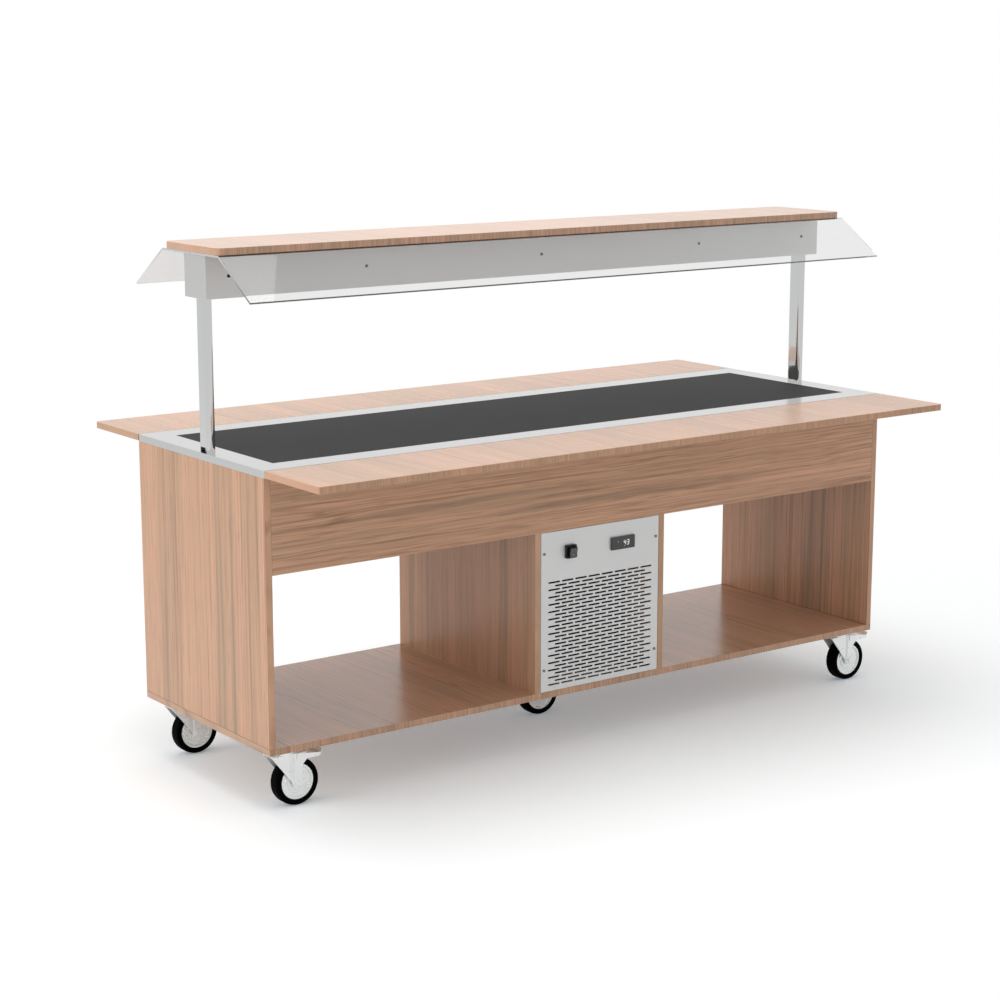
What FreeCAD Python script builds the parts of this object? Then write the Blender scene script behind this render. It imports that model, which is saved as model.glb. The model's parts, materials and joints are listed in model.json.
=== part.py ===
import FreeCAD, Part
import math
import os

# Mobile refrigerated salad bar, millimetres.
# Z is up, the floor is z = 0, X runs along the cabinet and the grille side faces -Y.
# The origin is on the floor below the middle of the counter.

V = FreeCAD.Vector
os.makedirs("parts", exist_ok=True)

# ---------------------------------------------------------------- driving sizes
gap = 0.3                 # clearance kept between bodies that move
run = 0.05                # radial running clearance of a shaft in its hole
play = 0.5                # radial clearance of a screw or tie in a drilled hole
board = 18.0              # laminated board thickness
edge_r = 1.0              # rounding of the edge banding
sheet = 1.5               # folded sheet

wheel_r, tyre_half = 62.5, 18.7
caster_head = 35.0        # from the top of the wheel to the board above it
caster_in_x, caster_in_y = 74.8, 64.0     # king pins from the ends and the long sides

body_len, body_dep = 2110.0, 658.0
steel_top = 887.6         # top of the counter
steel_lip = 19.0
steel_t = 2.0
end_strip, side_strip = 71.0, 77.0        # steel around the plate
apron_drop = 246.0
bed_drop = 88.6           # depth of the insulated bed
plate_t = 8.0
plate_r = 2.0

unit_half = 225.4         # outer faces of the machine bay sides
grille_play = 2.2
shelf_dep = 255.0
shelf_corner = 8.0
shelf_joint = 1.8

post_in, post_len = 28.0, 392.4           # post centre from the end; length above the counter
post_w, post_d, post_wall = 25.0, 51.0, 2.0
post_r = post_w / 2 - 0.5
box_h, box_half_dep = 111.5, 54.3
box_in = 3.4              # light box end behind the cabinet end
guard_t = 5.0
guard_over = 8.9          # guard end beyond the cabinet end
guard_slope = 33.7
guard_drop = 101.5        # from the top of the flange to the lower edge
tip_y = 297.5             # lower edge of a guard from the middle plane
flange_split = 0.4
canopy_in = 0.6           # canopy end behind the guard end
canopy_half_dep, canopy_r = 141.0, 24.0

hx, hy = body_len / 2, body_dep / 2
floor_gap = 2 * wheel_r + caster_head
deck = floor_gap + board              # top of the bottom board
body_top = steel_top - steel_lip      # top of the end panels
apron_low = body_top - apron_drop
bed_low = body_top - bed_drop
hole_x, hole_y = hx - end_strip, hy - side_strip
post_x = hx - post_in
box_low = steel_top + post_len
box_high = box_low + box_h
box_half_len = hx - box_in
guard_half_len = hx + guard_over
canopy_half_len = guard_half_len - canopy_in
grille_y = -hy


# ---------------------------------------------------------------- helpers
def box(x0, x1, y0, y1, z0, z1):
    return Part.makeBox(x1 - x0, y1 - y0, z1 - z0, V(x0, y0, z0))


def rod(radius, start, end):
    a, b = V(*start), V(*end)
    return Part.makeCylinder(radius, (b - a).Length, a, b - a)


def soften(shape, radius):
    return shape.makeFillet(radius, shape.Edges)


def along(shape, axis):
    # The straight edges of a shape that run along one axis.
    found = []
    for e in shape.Edges:
        d = e.Vertexes[-1].Point - e.Vertexes[0].Point
        if d.Length > 1e-6 and abs(abs(d.normalize().dot(axis)) - 1) < 1e-6:
            found.append(e)
    return found


def block(x0, x1, y0, y1, z0, z1, radius, axis):
    # A box with the four edges that run along one axis rounded.
    b = box(x0, x1, y0, y1, z0, z1)
    return b.makeFillet(radius, along(b, axis))


def hexagon(across, centre, axis, height):
    # A hexagonal prism, for bolt heads and nuts.
    a = V(*axis)
    side = V(0, 0, 1) if abs(a.z) < 0.5 else V(1, 0, 0)
    other = a.cross(side)
    r = across / math.sqrt(3)
    pts = []
    for k in range(7):
        t = math.radians(60 * k)
        pts.append(V(*centre) + side * (r * math.cos(t)) + other * (r * math.sin(t)))
    return Part.Face(Part.makePolygon(pts)).extrude(a * height)


def plate_xz(points, y0, y1):
    # A flat shape drawn in X and Z, extruded from y0 to y1.
    pts = [V(x, y0, z) for x, z in points]
    return Part.Face(Part.makePolygon(pts + pts[:1])).extrude(V(0, y1 - y0, 0))


def plate_yz(points, x0, x1):
    pts = [V(x0, y, z) for y, z in points]
    return Part.Face(Part.makePolygon(pts + pts[:1])).extrude(V(x1 - x0, 0, 0))


def turned_y(profile):
    # A profile of (radius, y) points revolved about the Y axis through the origin.
    pts = [V(r, y, 0) for r, y in profile]
    return Part.Face(Part.makePolygon(pts + pts[:1])).revolve(V(0, 0, 0), V(0, 1, 0), 360)


def turned_z(profile):
    pts = [V(r, 0, z) for r, z in profile]
    return Part.Face(Part.makePolygon(pts + pts[:1])).revolve(V(0, 0, 0), V(0, 0, 1), 360)


def at(shape, x, y, z=0.0):
    s = shape.copy()
    s.translate(V(x, y, z))
    return s


def back(shape):
    return shape.mirror(V(0, 0, 0), V(0, 1, 0))


def other_end(shape):
    return shape.mirror(V(0, 0, 0), V(1, 0, 0))


def join(shapes):
    return shapes[0].multiFuse(shapes[1:]).removeSplitter()


def group(shapes):
    return Part.makeCompound(shapes)


def save(name, shape):
    shape.exportStep("parts/" + name + ".step")


# ---------------------------------------------------------------- wooden cabinet
caster_x, caster_y = hx - caster_in_x, hy - caster_in_y
caster_at = [(-caster_x, -caster_y), (-caster_x, caster_y), (caster_x, -caster_y),
             (caster_x, caster_y), (0.0, 0.0)]
caster_names = ["front_left", "rear_left", "front_right", "rear_right", "middle"]
mount_x, mount_y = 40.0, 30.0
mount_screws = [(sx * mount_x, sy * mount_y) for sx in (-1, 1) for sy in (-1, 1)]
mount_screw_r, mount_screw_in = 4.0, 13.0

bottom = soften(box(-hx, hx, -hy, hy, floor_gap, deck), edge_r)
for cx, cy in caster_at:
    for sx, sy in mount_screws:
        bottom = bottom.cut(rod(mount_screw_r, (cx + sx, cy + sy, floor_gap - 1),
                                (cx + sx, cy + sy, floor_gap + mount_screw_in)))
save("bottom_board", bottom)

end_panel = soften(box(-hx, -hx + board, -hy, hy, deck, body_top), edge_r)
save("left_end_panel", end_panel)
save("right_end_panel", other_end(end_panel))

apron_half = hx - board
apron = soften(box(-apron_half, apron_half, -hy, -hy + board, apron_low, body_top), edge_r)
save("front_apron", apron)
save("rear_apron", back(apron))

side_low = box(unit_half - board, unit_half, -hy, hy, deck, apron_low)
side_high = box(unit_half - board, unit_half, -hy + board, hy - board, apron_low, bed_low)
unit_side = side_low.makeFillet(edge_r, along(side_low, V(0, 0, 1))).fuse(side_high)
unit_side = unit_side.removeSplitter()
save("unit_right_panel", unit_side)
save("unit_left_panel", other_end(unit_side))

# ---------------------------------------------------------------- cold top
steel_corner = 3.0
surround = box(-hx, hx, -hy, hy, body_top, steel_top)
upright = along(surround, V(0, 0, 1))
surround = surround.makeFillet(steel_corner, upright)
hollow = box(-hx + steel_t, hx - steel_t, -hy + steel_t, hy - steel_t,
             body_top - 1, steel_top - steel_t)
core = box(-hole_x - steel_t, hole_x + steel_t, -hole_y - steel_t, hole_y + steel_t,
           body_top, steel_top)
surround = surround.cut(hollow.cut(core))
surround = surround.cut(box(-hole_x, hole_x, -hole_y, hole_y, body_top - 1, steel_top + 1))
tie_r = 4.0
for sx in (-1, 1):
    surround = surround.cut(rod(tie_r + play, (sx * post_x, 0, steel_top - steel_t - 1),
                                (sx * post_x, 0, steel_top + 1)))
save("steel_surround", surround)

# A sheet tray between the aprons holds the foam block and the cooling coil below the plate.
tray_wall = 1.2
cold_tray = box(-apron_half, apron_half, -hy + board, hy - board, bed_low, body_top)
cold_tray = cold_tray.cut(box(-apron_half + tray_wall, apron_half - tray_wall,
                              -hy + board + tray_wall, hy - board - tray_wall,
                              bed_low + tray_wall, body_top + 1))
foam = box(-apron_half + tray_wall, apron_half - tray_wall, -hy + board + tray_wall,
           hy - board - tray_wall, bed_low + tray_wall, body_top)
raised = box(-hole_x + gap, hole_x - gap, -hole_y + gap, hole_y - gap,
             body_top - 1, steel_top - plate_t)
foam = join([foam, raised])
coil_r, coil_runs = 5.0, 8
coil_in_x, coil_in_y = 80.0, 42.0         # coil from the edges of the plate
coil_z = steel_top - plate_t - coil_r
coil_x = hole_x - coil_in_x
coil_pitch = 2 * (hole_y - coil_in_y) / (coil_runs - 1)
cond_half, cond_cap = 140.0, 8.0          # condenser half width, tubes beyond its end plates
tube_end = -cond_half - cond_cap
hot_x, liquid_x, suction_x = tube_end - 17.0, tube_end - 24.0, 20.0
hot_r, liquid_r, suction_r = 4.0, 3.0, 6.0
run_y = [(k - (coil_runs - 1) / 2) * coil_pitch for k in range(coil_runs)]
coil = []
for k, y in enumerate(run_y):
    x0 = -coil_x
    if k == 0:
        x0 = suction_x
    if k == coil_runs - 1:
        x0 = liquid_x
    coil.append(rod(coil_r, (x0, y, coil_z), (coil_x, y, coil_z)))
    foam = foam.cut(box(x0 - 1, coil_x + 1, y - coil_r - gap, y + coil_r + gap,
                        coil_z - coil_r, steel_top))
for k in range(coil_runs - 1):
    side = 1 if k % 2 == 0 else -1
    y = (run_y[k] + run_y[k + 1]) / 2
    ring = Part.makeTorus(coil_pitch / 2, coil_r, V(side * coil_x, y, coil_z))
    x0, x1 = sorted((side * coil_x, side * (coil_x + coil_pitch / 2 + 2 * coil_r)))
    reach = coil_pitch / 2 + coil_r + 1
    pocket = box(x0, x1, y - reach, y + reach, coil_z - coil_r, steel_top)
    coil.append(ring.common(pocket))
    foam = foam.cut(pocket)
riser_at = [(liquid_x, run_y[-1], liquid_r), (suction_x, run_y[0], suction_r)]
for x, y, r in riser_at:
    hole = rod(r + gap, (x, y, bed_low - 1), (x, y, coil_z))
    foam = foam.cut(hole)
    foam = foam.cut(box(x - coil_r - 3, x, y - coil_r - 3, y + coil_r + 3,
                        coil_z - coil_r, steel_top))
    cold_tray = cold_tray.cut(hole)
save("cold_tray", cold_tray)
save("foam_block", foam)

plate = block(-hole_x + gap, hole_x - gap, -hole_y + gap, hole_y - gap,
              steel_top - plate_t, steel_top, plate_r, V(0, 0, 1))
save("cold_plate", plate)

# ---------------------------------------------------------------- posts and light box
px, py = post_w / 2, post_d / 2
post = block(post_x - px, post_x + px, -py, py, steel_top, box_low, post_r, V(0, 0, 1))
inner = block(post_x - px + post_wall, post_x + px - post_wall, -py + post_wall,
              py - post_wall, steel_top - 1, box_low + 1, post_r - post_wall, V(0, 0, 1))
cable_slot_half, cable_slot_h = 15.0, 10.0
cable_slot = box(post_x + px - post_wall - 1, post_x + px + 1, -cable_slot_half,
                 cable_slot_half, steel_top - 1, steel_top + cable_slot_h)
post = post.cut(inner).cut(cable_slot)
save("canopy_posts", group([post, other_end(post)]))

nut_h, nut_across, tie_end = 6.5, 13.0, 4.0
low_nut, high_nut = steel_top - steel_t - nut_h, box_low + sheet
ties = []
for sx in (-1, 1):
    x = sx * post_x
    ties.append(join([
        rod(tie_r, (x, 0, low_nut - tie_end), (x, 0, high_nut + nut_h + tie_end)),
        hexagon(nut_across, (x, 0, low_nut), (0, 0, 1), nut_h),
        hexagon(nut_across, (x, 0, high_nut), (0, 0, 1), nut_h)]))
fasteners = list(ties)

bx, by = box_half_len, box_half_dep
screw_r, head_r = 2.0, 4.2
box_screw_in, box_screw_mid = 66.6, 575.0
screw_out = bx - box_screw_in
screw_x = [-screw_out, -box_screw_mid, 0.0, box_screw_mid, screw_out]
screw_z = (box_low + box_high) / 2
box_r = 2.0
light_box = block(-bx, bx, -by, by, box_low, box_high, box_r, V(0, 0, 1))
light_box = light_box.cut(box(-bx + sheet, bx - sheet, -by + sheet, by - sheet,
                              box_low + sheet, box_high - sheet))
lamp_in, lamp_side = 91.6, 14.3           # lamp opening from the ends and sides of the box
lamp_half_len, lamp_half_dep = bx - lamp_in, by - lamp_side
light_box = light_box.cut(box(-lamp_half_len, lamp_half_len, -lamp_half_dep,
                              lamp_half_dep, box_low - 1, box_low + sheet + 1))
for sx in (-1, 1):
    light_box = light_box.cut(rod(tie_r + play, (sx * post_x, 0, box_low - 1),
                                  (sx * post_x, 0, box_low + sheet + 1)))
for x in screw_x:
    light_box = light_box.cut(rod(screw_r, (x, -by - 1, screw_z), (x, by + 1, screw_z)))
board_screw_r, board_screw_in, board_screw_y = 2.5, 163.3, 32.0
board_screw_out = canopy_half_len - board_screw_in
board_screw_at = []
for k in (-3, -1, 1, 3):
    for s in (-1, 1):
        board_screw_at.append((k * board_screw_out / 3, s * board_screw_y))
for x, y in board_screw_at:
    light_box = light_box.cut(rod(board_screw_r, (x, y, box_high - sheet - 1),
                                  (x, y, box_high + 1)))
save("light_box", light_box)

lap_x, lap_y, diffuser_t = 12.0, 8.0, 3.0
diffuser = block(-lamp_half_len - lap_x, lamp_half_len + lap_x, -lamp_half_dep - lap_y,
                 lamp_half_dep + lap_y, box_low + sheet, box_low + sheet + diffuser_t,
                 diffuser_t, V(0, 0, 1))
save("light_diffuser", diffuser)

# The lamp carrier is a folded channel screwed between the long faces of the box.
fold, carrier_in = 40.0, 51.6
carrier_x, carrier_y = bx - carrier_in, by - sheet
fold_low, fold_high = screw_z - fold / 2, screw_z + fold / 2
carrier = box(-carrier_x, carrier_x, -carrier_y, carrier_y, fold_low, fold_high)
carrier = carrier.cut(box(-carrier_x - 1, carrier_x + 1, -carrier_y + sheet,
                          carrier_y - sheet, fold_low - 1, fold_high - sheet))
for x in screw_x:
    carrier = carrier.cut(rod(screw_r, (x, -carrier_y - 1, screw_z),
                              (x, carrier_y + 1, screw_z)))
save("lamp_carrier", carrier)

lamp_z = fold_high - sheet
strip_in, strip_y, strip_w, strip_t = 20.0, 18.0, 18.0, 6.0
strip_half = lamp_half_len - strip_in
diode_pitch, diode_x, diode_y, diode_h = 80.0, 12.0, 8.0, 2.0
diodes = int(2 * (strip_half - diode_x) // diode_pitch) + 1
strips = []
for y in (-strip_y, strip_y):
    strip = [box(-strip_half, strip_half, y - strip_w / 2, y + strip_w / 2,
                 lamp_z - strip_t, lamp_z)]
    for k in range(diodes):
        x = (k - (diodes - 1) / 2) * diode_pitch
        strip.append(box(x - diode_x / 2, x + diode_x / 2, y - diode_y / 2, y + diode_y / 2,
                         lamp_z - strip_t - diode_h, lamp_z - strip_t))
    strips.append(join(strip))
save("lamp_strips", group(strips))


def cross_head(x, z, face, out, thick, radius, length):
    # A round screw head with a cross slot on the face y = face; out is the way it faces.
    top = out * thick
    arm, wide, deep = 0.62 * radius, 0.5, 0.4
    head = rod(radius, (x, face, z), (x, face + top, z))
    shank = rod(screw_r, (x, face, z), (x, face - out * length, z))
    y0, y1 = sorted((face + top - out * deep, face + top + out))
    slot = box(x - arm, x + arm, y0, y1, z - wide, z + wide)
    cross = box(x - wide, x + wide, y0, y1, z - arm, z + arm)
    return join([head, shank]).cut(slot.fuse(cross))


box_screws = []
for x in screw_x:
    for s in (-1, 1):
        box_screws.append(cross_head(x, screw_z, s * by, s, 1.6, head_r, 9.0))
fasteners += box_screws

# ---------------------------------------------------------------- guards and canopy
flange_low = box_high
flange_high = flange_low + guard_t
slope = math.radians(guard_slope)
bend_in = 8.0
bend_out = bend_in + guard_t
tip_z = flange_high - guard_drop
bend_z = flange_high - bend_out
touch_z = bend_z + bend_out * math.cos(slope)
bend_y = tip_y - (touch_z - tip_z) / math.tan(slope) - bend_out * math.sin(slope)


def on_bend(radius, turn):
    # A point of the bend, in the front pane; y is negative there.
    return V(-guard_half_len, -(bend_y + radius * math.sin(turn)),
             bend_z + radius * math.cos(turn))


tip_top = V(-guard_half_len, -tip_y, tip_z)
tip_low = V(-guard_half_len, -(tip_y - guard_t * math.sin(slope)),
            tip_z - guard_t * math.cos(slope))
in_top = V(-guard_half_len, -flange_split, flange_high)
in_low = V(-guard_half_len, -flange_split, flange_low)
profile = Part.Wire([
    Part.makeLine(in_top, on_bend(bend_out, 0)),
    Part.Arc(on_bend(bend_out, 0), on_bend(bend_out, slope / 2),
             on_bend(bend_out, slope)).toShape(),
    Part.makeLine(on_bend(bend_out, slope), tip_top),
    Part.makeLine(tip_top, tip_low),
    Part.makeLine(tip_low, on_bend(bend_in, slope)),
    Part.Arc(on_bend(bend_in, slope), on_bend(bend_in, slope / 2),
             on_bend(bend_in, 0)).toShape(),
    Part.makeLine(on_bend(bend_in, 0), in_low),
    Part.makeLine(in_low, in_top)])
guard = Part.Face(profile).extrude(V(2 * guard_half_len, 0, 0))
for x, y in board_screw_at:
    guard = guard.cut(rod(board_screw_r + play, (x, -abs(y), flange_low - 1),
                          (x, -abs(y), flange_high + 1)))
save("front_guard", guard)
save("rear_guard", back(guard))

canopy = block(-canopy_half_len, canopy_half_len, -canopy_half_dep, canopy_half_dep,
               flange_high, flange_high + board, canopy_r, V(0, 0, 1))
rim_edges = [e for e in canopy.Edges if abs(e.Vertexes[0].Z - e.Vertexes[-1].Z) < 1e-6
             and e.Length > 1]
canopy = canopy.makeFillet(edge_r, rim_edges)
board_screw_deep, board_head_r, board_head_h = 12.0, 5.0, 3.0
screw_seat, screw_tip = box_high - sheet, flange_high + board_screw_deep
board_screws = []
for x, y in board_screw_at:
    canopy = canopy.cut(rod(board_screw_r, (x, y, flange_high - 1), (x, y, screw_tip)))
    board_screws.append(join([rod(board_screw_r, (x, y, screw_seat), (x, y, screw_tip)),
                              rod(board_head_r, (x, y, screw_seat - board_head_h),
                                  (x, y, screw_seat))]))
save("canopy_board", canopy)
fasteners += board_screws

# ---------------------------------------------------------------- machine bay
cleat_in = unit_half - board          # inner faces of the machine bay sides
grille_low, grille_high = deck + 1.0, apron_low - 1.0
grille_half = cleat_in - grille_play
grille_t = 2.0
slot_w, slot_h, slot_pitch, slot_in = 40.0, 4.8, 46.0, 10.0
row_drop, row_pitch, row_margin = 139.6, 10.2, 15.0
row_top = grille_high - row_drop
rows = int((row_top - grille_low - row_margin) // row_pitch) + 1
columns = int((2 * (grille_half - slot_in) - slot_w) // slot_pitch) + 1
screw_side, screw_up, screw_down = 10.2, 60.6, 58.1
grille_screw_at = []
for s in (-1, 1):
    for z in (grille_low + screw_up, grille_high - screw_down):
        grille_screw_at.append((s * (grille_half - screw_side), z))
switch_x, switch_z = -107.2, grille_high - 60.4
switch_w, switch_h = 34.3, 36.8
switch_body_x, switch_body_z = 15.0, 16.0
ctrl_x, ctrl_z = 74.5, grille_high - 59.5
ctrl_w, ctrl_h = 81.0, 35.2
ctrl_body_x, ctrl_body_z = 35.5, 14.5


def slot_wire(x, z, w, h):
    # An outline with half round ends, in the plane y = 0.
    r = h / 2
    a, b = x - w / 2 + r, x + w / 2 - r
    return Part.Wire([
        Part.makeLine(V(a, 0, z + r), V(b, 0, z + r)),
        Part.Arc(V(b, 0, z + r), V(b + r, 0, z), V(b, 0, z - r)).toShape(),
        Part.makeLine(V(b, 0, z - r), V(a, 0, z - r)),
        Part.Arc(V(a, 0, z - r), V(a - r, 0, z), V(a, 0, z + r)).toShape()])


def frame_wire(x0, x1, z0, z1):
    return Part.makePolygon([V(x0, 0, z0), V(x1, 0, z0), V(x1, 0, z1), V(x0, 0, z1),
                             V(x0, 0, z0)])


def grille(with_controls):
    holes = []
    for k in range(rows):
        count = columns - k % 2
        for i in range(count):
            x = (i - (count - 1) / 2) * slot_pitch
            holes.append(slot_wire(x, row_top - k * row_pitch, slot_w, slot_h))
    if with_controls:
        holes.append(frame_wire(switch_x - switch_body_x, switch_x + switch_body_x,
                                switch_z - switch_body_z, switch_z + switch_body_z))
        holes.append(frame_wire(ctrl_x - ctrl_body_x, ctrl_x + ctrl_body_x,
                                ctrl_z - ctrl_body_z, ctrl_z + ctrl_body_z))
    outer = frame_wire(-grille_half, grille_half, grille_low, grille_high)
    face = Part.Face(outer).extrude(V(0, grille_t, 0))
    cutters = [Part.Face(w).extrude(V(0, grille_t + 2, 0)) for w in holes]
    for c in cutters:
        c.translate(V(0, -1, 0))
    for x, z in grille_screw_at:
        cutters.append(rod(screw_r, (x, -1, z), (x, grille_t + 1, z)))
    return at(face.cut(group(cutters)), 0, grille_y, 0)


save("front_grille", grille(True))
save("rear_grille", back(grille(False)))

leg = 20.0
flat_y0 = grille_y + grille_t
cleats = []
for sx in (-1, 1):
    for sy in (1, -1):
        flat = box(cleat_in - leg, cleat_in, flat_y0, flat_y0 + sheet, deck, apron_low)
        web = box(cleat_in - sheet, cleat_in, flat_y0, flat_y0 + leg, deck, apron_low)
        angle = join([flat, web])
        for x, z in grille_screw_at:
            if x > 0:
                angle = angle.cut(rod(screw_r, (x, flat_y0 - 1, z), (x, flat_y0 + sheet + 1, z)))
        if sx < 0:
            angle = other_end(angle)
        if sy < 0:
            angle = back(angle)
        cleats.append(angle)
save("grille_cleats", group(cleats))

grille_screws = []
for x, z in grille_screw_at:
    for s in (-1, 1):
        grille_screws.append(cross_head(x, z, s * hy, s, 1.8, 3.8, 8.0))
fasteners += grille_screws

# Mains switch: a bezel with a body behind the grille and a rocker on two stub pins.
bezel_out = 8.0
rocker_r = 15.0
rocker_w = 24.0
rocker_y = grille_y - 4.0
switch_deep, well_deep = 30.0, 12.0
tilt = 7.0
pin_r = 1.5
pin_end = rocker_w / 2 + 1.3
housing = join([
    block(switch_x - switch_w / 2, switch_x + switch_w / 2, grille_y - bezel_out, grille_y,
          switch_z - switch_h / 2, switch_z + switch_h / 2, 3.0, V(0, 1, 0)),
    box(switch_x - switch_body_x, switch_x + switch_body_x, grille_y - 1,
        grille_y + switch_deep, switch_z - switch_body_z, switch_z + switch_body_z)])
housing = housing.cut(box(switch_x - rocker_w / 2 - gap, switch_x + rocker_w / 2 + gap,
                          grille_y - bezel_out - 1, grille_y + well_deep,
                          switch_z - rocker_r - gap, switch_z + rocker_r + gap))
housing = housing.cut(rod(pin_r + run, (switch_x - pin_end - gap, rocker_y, switch_z),
                          (switch_x + pin_end + gap, rocker_y, switch_z)))
save("switch_housing", housing)

# The rocker is round inside the bezel; outside it is a raised key with a shallow V face.
key_half, key_tip, key_mid, rocker_back = 13.0, 14.0, 12.2, 7.0
rocker = rod(rocker_r, (-rocker_w / 2, 0, 0), (rocker_w / 2, 0, 0))
rocker = rocker.cut(box(-rocker_w, rocker_w, -2 * rocker_r, -key_mid / 2, -rocker_r, rocker_r))
rocker = rocker.cut(box(-rocker_w, rocker_w, rocker_back, 2 * rocker_r, -rocker_r, rocker_r))
key = plate_yz([(0, -key_half), (-key_tip, -key_half), (-key_mid, 0), (-key_tip, key_half),
                (0, key_half)], -rocker_w / 2, rocker_w / 2)
rocker = join([rocker, key, rod(pin_r, (-pin_end, 0, 0), (pin_end, 0, 0))])
rocker.rotate(V(0, 0, 0), V(1, 0, 0), tilt)
save("switch_rocker", at(rocker, switch_x, rocker_y, switch_z))

ctrl_out, ctrl_deep, ctrl_r = 6.0, 52.0, 1.2
window_w, window_h, window_t, window_sunk = 71.0, 25.0, 1.5, 0.2
controller = join([
    block(ctrl_x - ctrl_w / 2, ctrl_x + ctrl_w / 2, grille_y - ctrl_out, grille_y,
          ctrl_z - ctrl_h / 2, ctrl_z + ctrl_h / 2, ctrl_r, V(0, 1, 0)),
    box(ctrl_x - ctrl_body_x, ctrl_x + ctrl_body_x, grille_y - 1, grille_y + ctrl_deep,
        ctrl_z - ctrl_body_z, ctrl_z + ctrl_body_z)])
window_box = block(ctrl_x - window_w / 2, ctrl_x + window_w / 2, grille_y - ctrl_out - 1,
                   grille_y - ctrl_out + window_t, ctrl_z - window_h / 2,
                   ctrl_z + window_h / 2, ctrl_r, V(0, 1, 0))
save("controller_housing", controller.cut(window_box))
window = window_box.common(box(ctrl_x - ctrl_w, ctrl_x + ctrl_w,
                               grille_y - ctrl_out + window_sunk, grille_y,
                               ctrl_z - ctrl_h, ctrl_z + ctrl_h))
save("controller_window", window)

# Condensing unit on a folded tray.
tray_wall_h = 25.0
tray_x, tray_y = cleat_in - 17.4, hy - 49.0
tray = box(-tray_x, tray_x, -tray_y, tray_y, deck, deck + tray_wall_h)
tray = tray.cut(box(-tray_x + sheet, tray_x - sheet, -tray_y + sheet, tray_y - sheet,
                    deck + sheet, deck + tray_wall_h + 1))
save("unit_tray", tray)
tray_top = deck + sheet

cond_y0 = -tray_y + 12.0
cond_dep, cond_h = 60.0, 290.5
cond_y1, cond_z0, cond_z1 = cond_y0 + cond_dep, tray_top, tray_top + cond_h
fin_pitch, fin_t, fin_side, fin_low, fin_high, fin_in = 11.0, 1.0, 17.0, 20.0, 6.0, 3.0
tube_pitch, tube_r, tube_in, tube_first = 32.0, 4.5, 18.0, 35.0
fin_count = int(2 * (cond_half - fin_side) // fin_pitch) + 1
tube_count = int((cond_h - 1.5 * tube_first) // tube_pitch) + 1
fins = []
for s in (-1, 1):
    fins.append(box(s * cond_half - sheet, s * cond_half + sheet, cond_y0, cond_y1,
                    cond_z0, cond_z1))
for k in range(fin_count):
    x = (k - (fin_count - 1) / 2) * fin_pitch
    fins.append(box(x - fin_t / 2, x + fin_t / 2, cond_y0 + fin_in, cond_y1 - fin_in,
                    cond_z0 + fin_low, cond_z1 - fin_high))
for k in range(tube_count):
    z = cond_z0 + tube_first + tube_pitch * k
    for y in (cond_y0 + tube_in, cond_y1 - tube_in):
        fins.append(rod(tube_r, (tube_end, y, z), (-tube_end, y, z)))
condenser = fins[0].multiFuse(fins[1:])
save("condenser", condenser)

fan_z, fan_r = cond_z0 + 150.5, 92.0
mouth_r, collar_t, collar_len = fan_r + 6.0, 2.0, 22.0
shroud_y = cond_y1
shroud = box(-cond_half - sheet, cond_half + sheet, shroud_y, shroud_y + collar_t,
             cond_z0, cond_z1)
collar = rod(mouth_r + collar_t, (0, shroud_y, fan_z), (0, shroud_y + collar_len, fan_z))
mouth = rod(mouth_r, (0, shroud_y - 1, fan_z), (0, shroud_y + collar_len + 1, fan_z))
save("fan_shroud", shroud.fuse(collar).cut(mouth).removeSplitter())

# The motor hangs behind the fan on four strips fixed to the shroud.
motor_y0 = shroud_y + 34
motor_r, motor_len, strip_half_w, foot_in, foot_out = 32.0, 46.0, 6.0, 6.0, 14.0
motor = [rod(motor_r, (0, motor_y0, fan_z), (0, motor_y0 + motor_len, fan_z))]
for a in (45, 135, 225, 315):
    arm = box(motor_r - 4, mouth_r + foot_out, motor_y0, motor_y0 + 2, -strip_half_w,
              strip_half_w)
    foot = box(mouth_r + foot_in, mouth_r + foot_out, shroud_y + collar_t, motor_y0 + 2,
               -strip_half_w, strip_half_w)
    piece = arm.fuse(foot)
    piece.rotate(V(0, 0, 0), V(0, 1, 0), a)
    piece.translate(V(0, 0, fan_z))
    motor.append(piece)
shaft_r = 4.0
motor.append(rod(shaft_r, (0, shroud_y + 8, fan_z), (0, motor_y0 + 1, fan_z)))
save("fan_motor", join(motor))

hub_r, hub_y0, hub_y1 = 20.0, shroud_y + 6, shroud_y + 30
blade_half, blade_t, blade_pitch, blade_r, blades = 16.0, 2.4, 62.0, 12.0, 5
fan_parts = [rod(hub_r, (0, hub_y0, 0), (0, hub_y1, 0))]
for k in range(blades):
    blade = box(hub_r - 5, fan_r, -blade_t / 2, blade_t / 2, -blade_half, blade_half)
    blade = blade.makeFillet(blade_r, [e for e in along(blade, V(0, 1, 0))
                                       if e.Vertexes[0].X > hub_r])
    blade.rotate(V(0, 0, 0), V(1, 0, 0), blade_pitch)
    blade.translate(V(0, (hub_y0 + hub_y1) / 2, 0))
    blade.rotate(V(0, 0, 0), V(0, 1, 0), 360 / blades * k)
    fan_parts.append(blade)
fan = join(fan_parts)
fan = fan.cut(rod(shaft_r + run, (0, shroud_y + 7, 0), (0, hub_y1 + 1, 0)))
save("fan_blades", at(fan, 0, 0, fan_z))

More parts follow.
